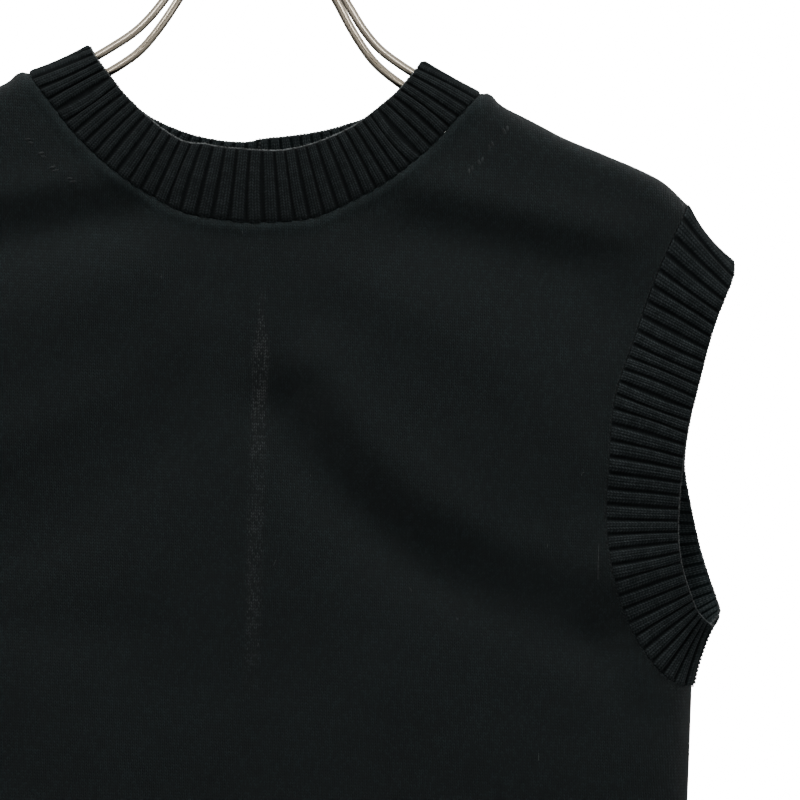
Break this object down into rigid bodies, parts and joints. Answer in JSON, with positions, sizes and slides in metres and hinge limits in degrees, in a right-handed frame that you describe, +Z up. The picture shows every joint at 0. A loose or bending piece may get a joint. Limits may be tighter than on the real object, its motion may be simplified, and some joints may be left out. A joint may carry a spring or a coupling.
{
  "type": "knitted sweater vest on a wire hanger",
  "caption": "Sleeveless crew-neck pullover in fine plain knit with deep ribbed neck, arm and hem bands, hanging nearly flat on a double-wire hanger.",
  "frame": {"origin": "inside top of the hanger's hook, where it rests on a rail", "axes": "+Z up, -Y towards the viewer of the vest's front, +X to that viewer's right"},
  "size_m": [0.5304, 0.053, 0.8247],
  "materials": {
    "plain_knit": "fine black plain knit, matt with a faint sheen along the stitches",
    "rib_knit": "black two-by-two rib knit, matt, a little lighter along the free edge",
    "satin_wire": "steel wire plated in warm satin nickel"
  },
  "bodies": {
    "root": {"front_panel": "plain_knit", "back_panel": "plain_knit", "neck_band": "rib_knit", "armband_right": "rib_knit", "armband_left": "rib_knit", "hem_band": "rib_knit", "hanger_arm_right": "satin_wire", "hanger_arm_left": "satin_wire", "hanger_collar": "satin_wire", "hanger_hook": "satin_wire"}
  },
  "joints": []
}
